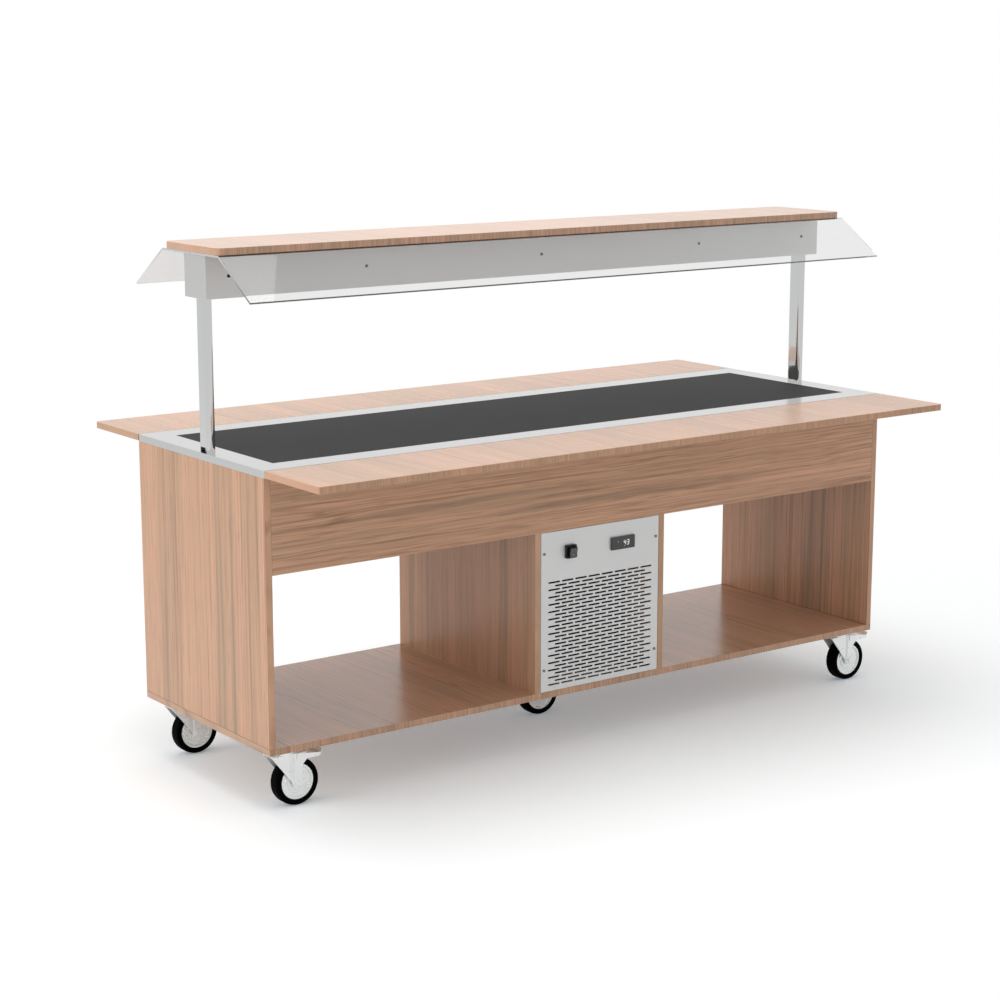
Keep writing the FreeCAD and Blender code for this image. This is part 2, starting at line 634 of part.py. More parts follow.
comp_y, comp_r, comp_h, comp_round = 90.0, 78.0, 190.0, 38.0
comp_z0 = tray_top + 16
port_z, port_wall, port_out, suction_off = comp_z0 + 150, 1.5, 8.0, 20.0
shell = Part.makeCylinder(comp_r, comp_h, V(0, comp_y, comp_z0))
shell = shell.makeFillet(comp_round, [e for e in shell.Edges
                                      if e.Curve.TypeId == "Part::GeomCircle"])
foot = block(-comp_r - 22, comp_r + 22, comp_y - 70, comp_y + 70, comp_z0 + 6, comp_z0 + 9,
             12.0, V(0, 0, 1))
terminal = block(comp_r - 12, comp_r + 28, comp_y - 28, comp_y + 28,
                 comp_z0 + 70, comp_z0 + 140, 5.0, V(0, 1, 0))
hot_port = -comp_r - port_out
suction_port = comp_y + comp_r + port_out
ports = [rod(hot_r + port_wall, (hot_port, comp_y, port_z), (-comp_r + 6, comp_y, port_z)),
         rod(suction_r + port_wall, (suction_off, comp_y + comp_r - 10, port_z),
             (suction_off, suction_port, port_z))]
feet = []
for sx in (-1, 1):
    for sy in (-1, 1):
        feet.append(Part.makeCylinder(11, comp_z0 + 7 - tray_top,
                                      V(sx * (comp_r + 8), comp_y + sy * 56, tray_top)))
save("compressor", join([shell, foot, terminal] + ports + feet))


def pipe(points, radius):
    # A pipe through straight runs with round elbows.
    parts = []
    for a, b in zip(points[:-1], points[1:]):
        parts.append(rod(radius, a, b))
    for p in points[1:-1]:
        parts.append(Part.makeSphere(radius, V(*p)))
    return join(parts)


cross_z = bed_low - 80
turn_y = suction_port + 54
first_row = cond_z0 + tube_first
last_row = first_row + tube_pitch * (tube_count - 1)
front_tube, rear_tube = cond_y0 + tube_in, cond_y1 - tube_in
pipes = [
    pipe([(hot_port, comp_y, port_z), (hot_x, comp_y, port_z), (hot_x, front_tube, port_z),
          (hot_x, front_tube, last_row), (tube_end, front_tube, last_row)], hot_r),
    pipe([(tube_end, rear_tube, first_row), (liquid_x, rear_tube, first_row),
          (liquid_x, run_y[-1], first_row), (liquid_x, run_y[-1], coil_z)], liquid_r),
    pipe([(suction_off, suction_port, port_z), (suction_off, turn_y, port_z),
          (suction_off, turn_y, cross_z), (suction_x, run_y[0], cross_z),
          (suction_x, run_y[0], coil_z)], suction_r)]
save("pipework", join(pipes + coil))

# ---------------------------------------------------------------- folding tray shelves
bracket_in, bracket_mid = 175.0, 300.0
bracket_x = [-hx + bracket_in, -bracket_mid, bracket_mid, hx - bracket_in]
under = steel_top - board
hinge_y, hinge_z = hy + 12.0, under - 21.6
hinge_pin_r, ear_r, ear_t, pin_head = 3.0, 9.0, 3.0, 2.5
arm_w, arm_t, nose_r, arm_tip = 27.8, 2.5, 8.0, 8.0
arm_reach = shelf_dep - 65
wall_t, wall_half, wall_down, wall_up = 2.5, 24.0, 34.0, 18.0


def wall_bracket(x):
    wall = block(x - wall_half, x + wall_half, -hy - wall_t, -hy, hinge_z - wall_down,
                 hinge_z + wall_up, 3.0, V(0, 1, 0))
    parts = [wall]
    ear_in = arm_w / 2 + gap
    for s in (-1, 1):
        a, b = sorted((x + s * ear_in, x + s * (ear_in + ear_t)))
        parts.append(box(a, b, -hinge_y, -hy, hinge_z - ear_r, hinge_z + ear_r))
        parts.append(rod(ear_r, (a, -hinge_y, hinge_z), (b, -hinge_y, hinge_z)))
    reach = ear_in + ear_t + pin_head
    parts.append(rod(hinge_pin_r, (x - reach, -hinge_y, hinge_z), (x + reach, -hinge_y, hinge_z)))
    return join(parts)


walls = [wall_bracket(x) for x in bracket_x]
save("shelf_brackets", group(walls + [back(w) for w in walls]))


def shelf_arm(x):
    # A channel under the shelf, deepest at the hinge; it stays clear of the wall when folded.
    y0 = -hinge_y
    inner = y0 + nose_r + 0.5
    points = [(inner, under), (y0 - arm_reach, under), (y0 - arm_reach, under - arm_tip),
              (y0, hinge_z - nose_r), (y0 + nose_r, hinge_z), (inner, hinge_z + 6)]
    side = plate_yz(points, x - arm_w / 2, x + arm_w / 2)
    side = side.fuse(rod(nose_r, (x - arm_w / 2, y0, hinge_z), (x + arm_w / 2, y0, hinge_z)))
    inside = box(x - arm_w / 2 + arm_t, x + arm_w / 2 - arm_t, y0 - arm_reach - 1, inner + 1,
                 hinge_z - nose_r - 1, under - arm_t)
    arm = side.cut(inside).removeSplitter()
    return arm.cut(rod(hinge_pin_r + run, (x - arm_w, y0, hinge_z), (x + arm_w, y0, hinge_z)))


arms = [shelf_arm(x) for x in bracket_x]
save("front_shelf_arms", group(arms))
save("rear_shelf_arms", group([back(a) for a in arms]))
shelf = box(-hx, hx, -hy - shelf_dep, -hy - shelf_joint, under, steel_top)
outer = [e for e in along(shelf, V(0, 0, 1)) if e.CenterOfMass.y < -hy - shelf_dep / 2]
shelf = shelf.makeFillet(shelf_corner, outer)
shelf_rim = [e for e in shelf.Edges if abs(e.Vertexes[0].Z - e.Vertexes[-1].Z) < 1e-6]
shelf = shelf.makeFillet(edge_r, shelf_rim)
save("front_shelf", shelf)
save("rear_shelf", back(shelf))

# ---------------------------------------------------------------- casters
# One caster is drawn with its king pin on the Z axis and its wheel trailing towards +X.
core_r = 46.5
trail = 32.8
leg_in, leg_t = 21.0, 3.0
leg_out = leg_in + leg_t
crown_high = floor_gap - 18.0
crown_low = crown_high - leg_t
plate_low = floor_gap - 3.0
axle_z, axle_r = wheel_r, 5.0
pivot_x, pivot_z, pivot_r = trail + 3.2, crown_high - 11, 2.5
king_r, king_head_r = 6.0, 11.0

# Fixed part: screwed plate, bearing cup and king pin.
top_plate = block(-mount_x - 12.5, mount_x + 12.5, -mount_y - 12.5, mount_y + 12.5,
                  plate_low, floor_gap, 6.0, V(0, 0, 1))
for sx, sy in mount_screws:
    top_plate = top_plate.cut(rod(mount_screw_r + play, (sx, sy, plate_low - 1),
                                  (sx, sy, floor_gap + 1)))
cup_in, cup_out, cup_low = 29.5, 33.0, plate_low - 10
cup = turned_z([(cup_in, plate_low), (cup_in, cup_low), (cup_out, cup_low),
                (cup_out, plate_low)])
king_top = crown_low - gap
king = turned_z([(0, plate_low), (king_r, plate_low), (king_r, king_top),
                 (king_head_r, king_top), (king_head_r, king_top - 3.3),
                 (king_head_r - 2, king_top - 4.3), (0, king_top - 4.3)])
caster_plate = join([top_plate, cup, king])
save("caster_plates", group([at(caster_plate, x, y) for x, y in caster_at]))

bolt_across, bolt_h = 13.0, 5.3
screws = []
for cx, cy in caster_at:
    for sx, sy in mount_screws:
        x, y = cx + sx, cy + sy
        screws.append(join([rod(mount_screw_r, (x, y, plate_low),
                                (x, y, floor_gap + mount_screw_in)),
                            hexagon(bolt_across, (x, y, plate_low - bolt_h), (0, 0, 1),
                                    bolt_h)]))
save("fasteners", group(fasteners + screws))

# Fork: a pressed crown with two creased legs, a bearing race on top and the axle bolt.
crown_back, crown_front = -44.0, 56.0
crease_x, crease_w, crease_in, crease_t = trail - 12.4, 14.0, 2.4, 2.0
outline = [(crown_back, crown_high), (crown_back, crown_low - 1), (trail - 20, axle_z + 2.5),
           (crease_x - 2, axle_z - 12), (crease_x + 4, axle_z - 13.4), (trail + 2, axle_z - 10),
           (trail + 11.5, axle_z), (trail + 11.5, crown_high - 34),
           (crown_front, crown_high - 22), (crown_front, crown_high)]
legs = []
for s in (-1, 1):
    a, b = sorted((s * leg_in, s * leg_out))
    # Each leg folds inwards towards a crease that runs down to its tip.
    fold = [V(crease_x - crease_w, s * leg_out, 0), V(crease_x, s * (leg_out - crease_in), 0),
            V(crease_x, s * (leg_out + 1), 0), V(crease_x - crease_w, s * (leg_out + 1), 0)]
    wedge = Part.Face(Part.makePolygon(fold + fold[:1])).extrude(V(0, 0, crown_low))
    inside = [V(crease_x - crease_w, s * leg_in, 0), V(crease_x + crease_t, s * leg_in, 0),
              V(crease_x + crease_t, s * (leg_out - crease_in - crease_t), 0),
              V(crease_x, s * (leg_out - crease_in - crease_t), 0)]
    rib = Part.Face(Part.makePolygon(inside + inside[:1])).extrude(V(0, 0, crown_low))
    rib = rib.common(plate_xz(outline, -leg_out, leg_out))
    legs.append(plate_xz(outline, a, b).fuse(rib).cut(wedge))
crown = box(crown_back, crown_front, -leg_out, leg_out, crown_low, crown_high)
fork = join([crown] + legs)
long_edges = []
for e in along(fork, V(1, 0, 0)):
    p = e.Vertexes[0].Point
    if abs(abs(p.y) - leg_out) < 1e-3 and p.z > crown_high - 0.1:
        long_edges.append(e)
fork = fork.makeFillet(leg_t - 0.2, long_edges)
race_r, race_top = cup_in - 1.5, plate_low - 2
race = turned_z([(0, crown_high), (race_r, crown_high), (race_r, race_top - 2),
                 (race_r - 2, race_top), (0, race_top)])
fork = join([fork, race])
fork = fork.cut(rod(king_r + run, (0, 0, crown_low - 1), (0, 0, race_top + 1)))
fork = fork.cut(rod(axle_r + run, (trail, -leg_out - 1, axle_z), (trail, leg_out + 1, axle_z)))
fork = fork.cut(rod(pivot_r + run, (pivot_x, -leg_out - 1, pivot_z),
                    (pivot_x, leg_out + 1, pivot_z)))
axle_across, axle_head, axle_nut = 17.0, 4.5, 6.0
axle = join([rod(axle_r, (trail, -leg_out, axle_z), (trail, leg_out + axle_nut + 1, axle_z)),
             hexagon(axle_across, (trail, -leg_out - axle_head, axle_z), (0, 1, 0), axle_head),
             hexagon(axle_across, (trail, leg_out, axle_z), (0, 1, 0), axle_nut)])

# Wheel: a pressed core with a raised disc, and a tyre with round shoulders.
hub_half, rim_half, web_half, disc_half = leg_in - gap, 15.5, 11.5, 14.5
disc_r = 28.5
half = [(axle_r + run, hub_half), (9, hub_half), (11.5, disc_half), (disc_r, disc_half),
        (disc_r + 2, web_half),
        (core_r - 7, web_half), (core_r - 5, rim_half), (core_r, rim_half)]
core = turned_y(half + [(r, -y) for r, y in reversed(half)])
tread_half = [(core_r, rim_half), (core_r + 2, tyre_half - 0.7), (core_r + 5, tyre_half),
              (wheel_r - 4.5, tyre_half - 0.3), (wheel_r - 2.0, tyre_half - 1.8),
              (wheel_r - 0.7, tyre_half - 4.2), (wheel_r, tyre_half - 9)]
tyre = turned_y(tread_half + [(r, -y) for r, y in reversed(tread_half)])

# Brake pedal: a channel over the wheel that slopes down to its end, pivoted on the fork legs.
side_in, side_t = leg_out + 0.5, 2.0
side_out = side_in + side_t
pedal_t, pedal_top, pedal_fall = 2.0, pivot_z + 10, 9.0
pedal_back, pedal_long = pivot_x - 9, pivot_x + 62
pedal_end = pedal_top - pedal_fall
slope = pedal_fall / (pedal_long - pedal_back)
band = [(pedal_back, pedal_top), (pedal_back, pivot_z - 5), (pedal_back + 4, pivot_z - 9),
        (pedal_long - 4, pivot_z - 8), (pedal_long - 1, pivot_z - 3), (pedal_long, pedal_end)]
sides = []
for s in (-1, 1):
    a, b = sorted((s * side_in, s * side_out))
    sides.append(plate_xz(band, a, b))
    p0, p1 = sorted((s * (leg_in + gap), s * (side_in + side_t / 2)))
    sides.append(rod(pivot_r, (pivot_x, p0, pivot_z), (pivot_x, p1, pivot_z)))
tread_x0 = pivot_x + 22
tread_top = pedal_top - slope * (tread_x0 - pedal_back)
tread = plate_xz([(tread_x0, tread_top), (tread_x0, tread_top - pedal_t),
                  (pedal_long - 2, pedal_end - pedal_t), (pedal_long + 5, pedal_end + 8),
                  (pedal_long + 3.6, pedal_end + 9), (pedal_long - 2.5, pedal_end)],
                 -side_out, side_out)
# The pad stands clear of the tyre until the pedal is pressed down.
pad_lift, pad_len, pad_half = 4.3, 16.0, 14.0
pad_low = axle_z + math.sqrt(wheel_r ** 2 - (tread_x0 - trail) ** 2) + pad_lift
pad_top = tread_top - pedal_t / 2
pad = plate_xz([(tread_x0, pad_low), (tread_x0 + pad_len, pad_low),
                (tread_x0 + pad_len, pad_top - slope * pad_len), (tread_x0, pad_top)],
               -pad_half, pad_half)
pedal = join(sides + [tread, pad])

for (cx, cy), name in zip(caster_at, caster_names):
    save("caster_fork_" + name, group([at(fork, cx, cy), at(axle, cx, cy)]))
    save("caster_core_" + name, at(core, cx + trail, cy, axle_z))
    save("caster_tyre_" + name, at(tyre, cx + trail, cy, axle_z))
    save("caster_pedal_" + name, at(pedal, cx, cy))
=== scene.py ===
import json
import math

import bmesh
import bpy
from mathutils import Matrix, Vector


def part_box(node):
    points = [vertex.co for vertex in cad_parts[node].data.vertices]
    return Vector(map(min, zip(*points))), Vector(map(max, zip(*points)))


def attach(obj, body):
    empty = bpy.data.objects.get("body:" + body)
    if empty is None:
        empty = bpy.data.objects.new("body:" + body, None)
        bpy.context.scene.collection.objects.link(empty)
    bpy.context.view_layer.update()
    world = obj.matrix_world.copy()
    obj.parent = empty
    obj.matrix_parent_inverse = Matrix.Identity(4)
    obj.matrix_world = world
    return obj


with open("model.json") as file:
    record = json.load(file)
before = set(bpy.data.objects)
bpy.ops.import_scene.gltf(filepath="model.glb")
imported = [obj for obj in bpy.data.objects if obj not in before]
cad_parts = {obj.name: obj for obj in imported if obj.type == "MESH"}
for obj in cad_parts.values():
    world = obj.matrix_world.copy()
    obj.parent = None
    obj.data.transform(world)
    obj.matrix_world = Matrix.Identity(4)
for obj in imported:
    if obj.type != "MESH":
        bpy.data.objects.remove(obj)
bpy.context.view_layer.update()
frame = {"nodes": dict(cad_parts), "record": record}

# A mobile salad bar. X runs along the cabinet, the grille side faces -Y, Z is up, metres.
X, Y, Z = 0, 1, 2
MM = 0.001
ALONG, UP = Vector((1, 0, 0)), Vector((0, 0, 1))
WHITE, NONE = (1, 1, 1, 1), (0, 0, 0, 1)
nodes = frame["nodes"]


# ------------------------------------------------------------------ helpers
def linear(r, g, b):
    """A colour given as 0-255 display values, as Blender's linear values."""
    def one(v):
        v = v / 255
        return v / 12.92 if v <= 0.04045 else ((v + 0.055) / 1.055) ** 2.4
    return (one(r), one(g), one(b), 1.0)


def on_axes(values):
    """A list of three numbers from a dictionary of axis and number."""
    return [values[axis] for axis in (X, Y, Z)]


def new_object(name, data):
    obj = bpy.data.objects.new(name, data)
    bpy.context.scene.collection.objects.link(obj)
    return obj


def mesh_of(name, bm):
    mesh = bpy.data.meshes.new(name)
    bm.to_mesh(mesh)
    bm.free()
    return mesh


class Graph:
    """A node tree, and short calls that add nodes to it and give back a socket."""

    def __init__(self, tree):
        self.tree = tree

    def add(self, kind, inputs=None, **settings):
        """Adds a node and gives back the node itself."""
        node = self.tree.nodes.new(kind)
        for key, value in settings.items():
            setattr(node, key, value)
        for key, value in (inputs or {}).items():
            self.put(node.inputs[key], value)
        return node

    def put(self, socket, value):
        """Links a socket, or sets its own value."""
        if isinstance(value, bpy.types.NodeSocket):
            self.tree.links.new(value, socket)
        else:
            socket.default_value = value

    def coords(self, kind):
        return self.add("ShaderNodeTexCoord").outputs[kind]

    def axis(self, vector, axis):
        return self.add("ShaderNodeSeparateXYZ", {0: vector}).outputs[axis]

    def place(self, scale=(1, 1, 1), shift=(0, 0, 0), source=None):
        """Object coordinates, scaled and shifted."""
        source = source or self.coords("Object")
        node = self.add("ShaderNodeMapping", {"Vector": source, "Scale": scale, "Location": shift})
        return node.outputs["Vector"]

    def noise(self, vector, scale, detail, rough):
        node = self.add("ShaderNodeTexNoise", {
            "Vector": vector, "Scale": scale, "Detail": detail, "Roughness": rough})
        return node.outputs["Fac"]

    def span(self, value, low, high, to_low=0.0, to_high=1.0, smooth=False):
        """Maps the range from low to high to another one, and clamps what lies outside."""
        node = self.add("ShaderNodeMapRange", {
            "Value": value, "From Min": low, "From Max": high, "To Min": to_low,
            "To Max": to_high})
        if smooth:
            node.interpolation_type = "SMOOTHSTEP"
        return node.outputs["Result"]

    def math(self, how, a, b=0.0):
        return self.add("ShaderNodeMath", {0: a, 1: b}, operation=how).outputs[0]

    def times(self, a, b):
        return self.math("MULTIPLY", a, b)

    def larger(self, a, b):
        return self.math("MAXIMUM", a, b)

    def mix(self, factor, a, b, how="MIX"):
        """Mixes two colours; 0, 6 and 7 are the sockets of a colour mix."""
        node = self.add("ShaderNodeMix", data_type="RGBA", blend_type=how)
        for socket, value in ((0, factor), (6, a), (7, b)):
            self.put(node.inputs[socket], value)
        return node.outputs[2]

    def shaded(self, colour, value):
        """A colour times a grey value."""
        grey = self.add("ShaderNodeCombineColor", {0: value, 1: value, 2: value}).outputs[0]
        return self.mix(1.0, colour, grey, "MULTIPLY")


class Finish(Graph):
    """A material with its Principled shader."""

    def __init__(self, name):
        self.material = bpy.data.materials.new(name)
        self.material.use_nodes = True
        super().__init__(self.material.node_tree)
        self.shader = self.tree.nodes["Principled BSDF"]

    def set(self, **values):
        for key, value in values.items():
            self.put(self.shader.inputs[key.replace("_", " ")], value)

    def bump(self, height, distance, strength):
        node = self.add("ShaderNodeBump", {
            "Height": height, "Distance": distance, "Strength": strength})
        self.set(Normal=node.outputs["Normal"])


# ------------------------------------------------------------------ materials
SALMON, OLIVE = linear(209, 162, 130), linear(197, 156, 124)
ROSE, GREY_OLIVE = linear(217, 166, 135), linear(170, 138, 112)
BROWN, JOINT_BROWN = linear(137, 99, 73), linear(110, 78, 58)

# The layers of the oak pattern: stretch along the fibres, scale, detail and roughness of the
# noise, the two noise values between which the layer comes in, and whether it does so softly.
OAK_LAYERS = {
    "broad": (0.03, 11.0, 2.0, 0.5, 0.42, 0.60, True),
    "pink": (0.02, 60.0, 2.0, 0.5, 0.50, 0.70, True),
    "dusk": (0.025, 22.0, 2.0, 0.5, 0.58, 0.72, True),
    "lines": (0.010, 125.0, 3.0, 0.65, 0.53, 0.70, False),
    "pores": (0.020, 380.0, 2.0, 0.6, 0.56, 0.70, False),
    "patches": (0.16, 9.0, 2.0, 0.5, 0.40, 0.62, True),
}
WANDER = 12 * MM                        # how far the fibres stray from straight at waves 1
ARCS = 34.0                             # growth rings across the full range of the noise
JOINT_OUTER, JOINT_INNER = 0.8 * MM, 1.8 * MM   # the joint line, from the panel's edge


def oak(name, grain, flat, shift, waves=0.3, dark=1.0, rough=0.30, gloss=0.4, joint=None):
    """Oak laminate. grain is the axis the fibres follow, flat the axis through the board.
    joint is the half depth and the foot of an end panel, which gets a thin dark joint line."""
    g = Finish(name)
    across = 3 - grain - flat
    source, normal = g.coords("Object"), g.coords("Normal")

    wander = g.place(on_axes({across: 1.0, grain: 0.30, flat: 0.2}), shift, source)
    wander = g.noise(wander, 5.0, 2.0, 0.5)
    wander = g.span(wander, 0.25, 0.75, -WANDER * waves, WANDER * waves)
    offset = g.add("ShaderNodeCombineXYZ", {across: wander}).outputs[0]
    moved = g.add("ShaderNodeVectorMath", {0: source, 1: offset}, operation="ADD").outputs[0]

    def stretched(length, vector=moved):
        return g.place(on_axes({across: 1.0, grain: length, flat: 0.03}), shift, vector)

    def layer(kind):
        length, scale, detail, roughness, low, high, smooth = OAK_LAYERS[kind]
        value = g.noise(stretched(length), scale, detail, roughness)
        return g.span(value, low, high, smooth=smooth)

    lines = layer("lines")
    fine = g.noise(stretched(0.008), 230.0, 3.0, 0.75)
    bands = g.noise(stretched(0.025), 16.0, 2.0, 0.5)
    arcs = g.math("PINGPONG", g.times(bands, ARCS), 1.0)
    arcs = g.span(arcs, 0.0, 0.34, 1.0, 0.0, smooth=True)
    veins = g.times(arcs, g.span(layer("patches"), 0.0, 1.0, 0.10, 1.0))

    colour = g.mix(layer("broad"), SALMON, OLIVE)
    colour = g.mix(g.times(layer("pink"), 0.5), colour, ROSE)
    colour = g.mix(g.times(layer("dusk"), 0.6 * dark), colour, GREY_OLIVE)
    colour = g.mix(g.times(lines, 0.34 * dark), colour, BROWN)
    colour = g.mix(g.times(veins, min(0.60 * waves, 0.8)), colour, BROWN)
    colour = g.mix(g.times(layer("pores"), 0.30 * dark), colour, BROWN)

    # Where the board is sawn across the fibres, the stripes are short and stronger.
    sawn = g.span(g.math("ABSOLUTE", g.axis(normal, grain)), 0.7, 0.9)
    stripes = g.span(g.noise(stretched(1.0, source), 260.0, 2.0, 0.7), 0.38, 0.66)
    colour = g.mix(g.times(sawn, g.times(stripes, 0.50)), colour, BROWN)
    if joint:
        half_depth, foot_z = joint
        rim = g.math("ABSOLUTE", g.axis(source, Y))
        rim = g.span(rim, half_depth - JOINT_INNER, half_depth - JOINT_OUTER)
        foot = g.axis(source, Z)
        foot = g.span(foot, foot_z + JOINT_OUTER, foot_z + JOINT_INNER, 1.0, 0.0)
        outside = g.span(g.math("ABSOLUTE", g.axis(normal, X)), 0.5, 0.7)
        line = g.times(g.larger(rim, foot), outside)
        colour = g.mix(g.times(line, 0.75), colour, JOINT_BROWN)

    shade = g.span(fine, 0.30, 0.70, 1.0 - 0.13 * dark, 1.0 + 0.11 * dark)
    g.set(Base_Color=g.shaded(colour, shade), Specular_IOR_Level=gloss,
          Roughness=g.span(fine, 0.3, 0.7, rough - 0.03, rough + 0.06))
    height = g.math("SUBTRACT", g.times(fine, 0.5), g.times(lines, 0.5))
    g.bump(height, 0.12 * MM, 0.5)
    return g.material


def brushed(name, colour, rough, metal=1.0):
    """Sheet metal with fine brush lines that run along the cabinet."""
    g = Finish(name)
    marks = 0.05
    lines = g.noise(g.place((0.015, 1, 1)), 900.0, 3.0, 0.6)
    cloud = g.noise(g.place(), 3.5, 3.0, 0.5)
    value = g.math("ADD", g.times(lines, marks), g.times(cloud, marks))
    value = g.math("ADD", value, 1.0 - marks)
    g.set(Base_Color=g.shaded(colour, value), Metallic=metal,
          Roughness=g.span(lines, 0.25, 0.75, rough - 0.05, rough + 0.07))
    g.bump(lines, 0.04 * MM, 0.4)
    return g.material


LIGHT_BOX_Z = 1.20                      # screws above this height belong to the light box


def plated(name, colour, rough=0.3, mottle=0.10, metal=0.9, high=None):
    """Plated steel, slightly mottled; high is the colour of what sits at the light box."""
    g = Finish(name)
    cells = g.add("ShaderNodeTexVoronoi", {"Vector": g.place(), "Scale": 180.0})
    cloud = g.noise(g.place(), 45.0, 4.0, 0.6)
    value = g.math("ADD", cells.outputs["Distance"], cloud)
    value = g.span(value, 0.4, 1.3, 1.0 - mottle, 1.0 + mottle * 0.3)
    if high:
        level = g.axis(g.coords("Object"), Z)
        colour = g.mix(g.span(level, LIGHT_BOX_Z, LIGHT_BOX_Z + 0.01), colour, high)
    g.set(Base_Color=g.shaded(colour, value), Metallic=metal,
          Roughness=g.span(cloud, 0.3, 0.7, rough - 0.04, rough + 0.06))
    return g.material


def moulded(name, colour, rough=0.45, grain=700.0, depth=0.04 * MM, spec=0.5, unshaded_front=None):
    """Plastic, rubber or paint with a fine grain; if a front colour is given, faces towards -Y get
    it and the other faces keep the darker base colour as painted shade.
    """
    g = Finish(name)
    # Painted shade by facing: faces towards -Y get the front colour, the other faces keep the
    # darker base colour.
    if unshaded_front:
        facing = g.axis(g.coords("Normal"), Y)
        colour = g.mix(g.span(facing, -0.9, -0.8, 1.0, 0.0), colour, unshaded_front)
    fine = g.noise(g.place(), grain, 3.0, 0.6)
    broad = g.noise(g.place(), 14.0, 3.0, 0.5)
    g.set(Base_Color=g.shaded(colour, g.span(broad, 0.3, 0.7, 0.94, 1.06)),
          Roughness=g.span(fine, 0.3, 0.7, rough - 0.05, rough + 0.08),
          Specular_IOR_Level=spec)
    g.bump(fine, depth, 0.5)
    return g.material


def polished(name, colour):
    """Bright chrome with a faint smear."""
    g = Finish(name)
    smear = g.noise(g.place((1, 1, 0.1)), 30.0, 3.0, 0.5)
    g.set(Base_Color=colour, Metallic=1.0, Roughness=g.span(smear, 0.3, 0.7, 0.05, 0.10))
    return g.material


TIP_LOW, TIP_HIGH = -0.61, -0.49        # Z of the normals of a guard's lower sawn edge
BEND_Z, FLANGE_Z = 1.32, 1.385          # the end edges' painted glow turns paler between these heights
# Emission colours that paint a glow on the guards' sawn edges, which hold no lamp.
FLANGE_PAINTED_GLOW = (0.50, 0.50, 0.50, 1)
TIP_PAINTED_GLOW = (0.10, 0.10, 0.10, 1)
SHADOW_CLEAR = 0.85                     # share of the lamps' light that a guard lets through


def clear_pane(name, edge, tint):
    """Clear sheet with a faint tint; its sawn edges get a painted glow through emission, and edge
    is how strong it is.
    """
    g = Finish(name)
    source, normal = g.coords("Object"), g.coords("Normal")
    facing = g.axis(normal, Z)
    end = g.span(g.math("ABSOLUTE", g.axis(normal, X)), 0.5, 0.9)
    tip = g.times(g.span(facing, TIP_LOW - 0.01, TIP_LOW + 0.01),
                  g.span(facing, TIP_HIGH - 0.01, TIP_HIGH + 0.01, 1.0, 0.0))
    height = g.span(g.axis(source, Z), BEND_Z, FLANGE_Z)
    # Painted light: the end edges and the lower sawn edge glow through emission.
    painted_glow = g.mix(end, NONE, g.mix(height, (edge, edge, edge, 1), FLANGE_PAINTED_GLOW))
    painted_glow = g.mix(tip, painted_glow, TIP_PAINTED_GLOW)
    shadow = g.add("ShaderNodeLightPath").outputs["Is Shadow Ray"]
    smear = g.noise(g.place((0.4, 1, 1), source=source), 6.0, 3.0, 0.5)
    g.set(Base_Color=tint, Transmission_Weight=1.0, IOR=1.46, Emission_Color=painted_glow,
          Emission_Strength=1.0, Alpha=g.math("ADD", g.times(shadow, -SHADOW_CLEAR), 1.0),
          Roughness=g.span(smear, 0.35, 0.75, 0.0, 0.015))
    return g.material


def glowing(name, colour, strength):
    """A lit display segment."""
    g = Finish(name)
    flicker = g.span(g.noise(g.place(), 2500.0, 1.0, 0.5), 0.3, 0.7, strength * 0.92, strength)
    g.set(Base_Color=colour, Emission_Color=colour, Emission_Strength=flicker, Roughness=0.4)
    return g.material


end_low, end_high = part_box("left_end_panel")
oak_end = oak("oak_end", Z, X, (0.3, 1.7, 0.2), 0.25, 1.6, joint=(end_high.y, end_low.z))
oak_side = oak("oak_side", Z, X, (2.1, 0.4, 1.2), 0.35, 1.1)
white_opal = moulded("opal", linear(244, 244, 240), rough=0.5)
zinc = plated("zinc", (0.95, 0.96, 0.96, 1), rough=0.30, mottle=0.03, metal=0.5)
satin = brushed("satin_steel", (0.56, 0.56, 0.555, 1), 0.18)
screen = moulded("dark_window", linear(76, 77, 77), rough=0.4, grain=1500.0, depth=0.01 * MM,
                 spec=0.3)
casing = moulded("black_casing", linear(28, 28, 30), rough=0.35)
digit_glow = glowing("digit_glow", (0.80, 0.86, 0.84, 1), 0.9)
mark_white = moulded("mark_white", linear(150, 150, 150), rough=0.5)

# A node's own finish comes before that of its material slot.
finish_of = {
    "left_end_panel": oak_end, "right_end_panel": oak_end,
    "unit_left_panel": oak_side, "unit_right_panel": oak_side,
    "front_shelf": oak("oak_front_top", Y, Z, (1.4, 2.6, 0.1), 0.3, 0.5, rough=0.23),
    "rear_shelf": oak("oak_rear_top", Y, Z, (8.4, 1.1, 0.1), 0.3, 0.5, rough=0.23),
    "canopy_board": oak("oak_canopy", Y, Z, (3.7, 4.2, 0.1), 0.3, 0.5, rough=0.2, gloss=0.8),
    "light_box": brushed("satin_sheet", (0.605, 0.598, 0.592, 1), 0.42),
    # The number after each guard's name is the strength of its painted edge glow.
    "front_guard": clear_pane("clear_pane_front", 0.22, (0.81, 0.812, 0.812, 1)),
    "rear_guard": clear_pane("clear_pane_rear", 0.70, (0.785, 0.825, 0.850, 1)),
    "fasteners": plated("screws", linear(120, 120, 122), metal=0.5, high=linear(14, 14, 14)),
    "controller_housing": screen,
}
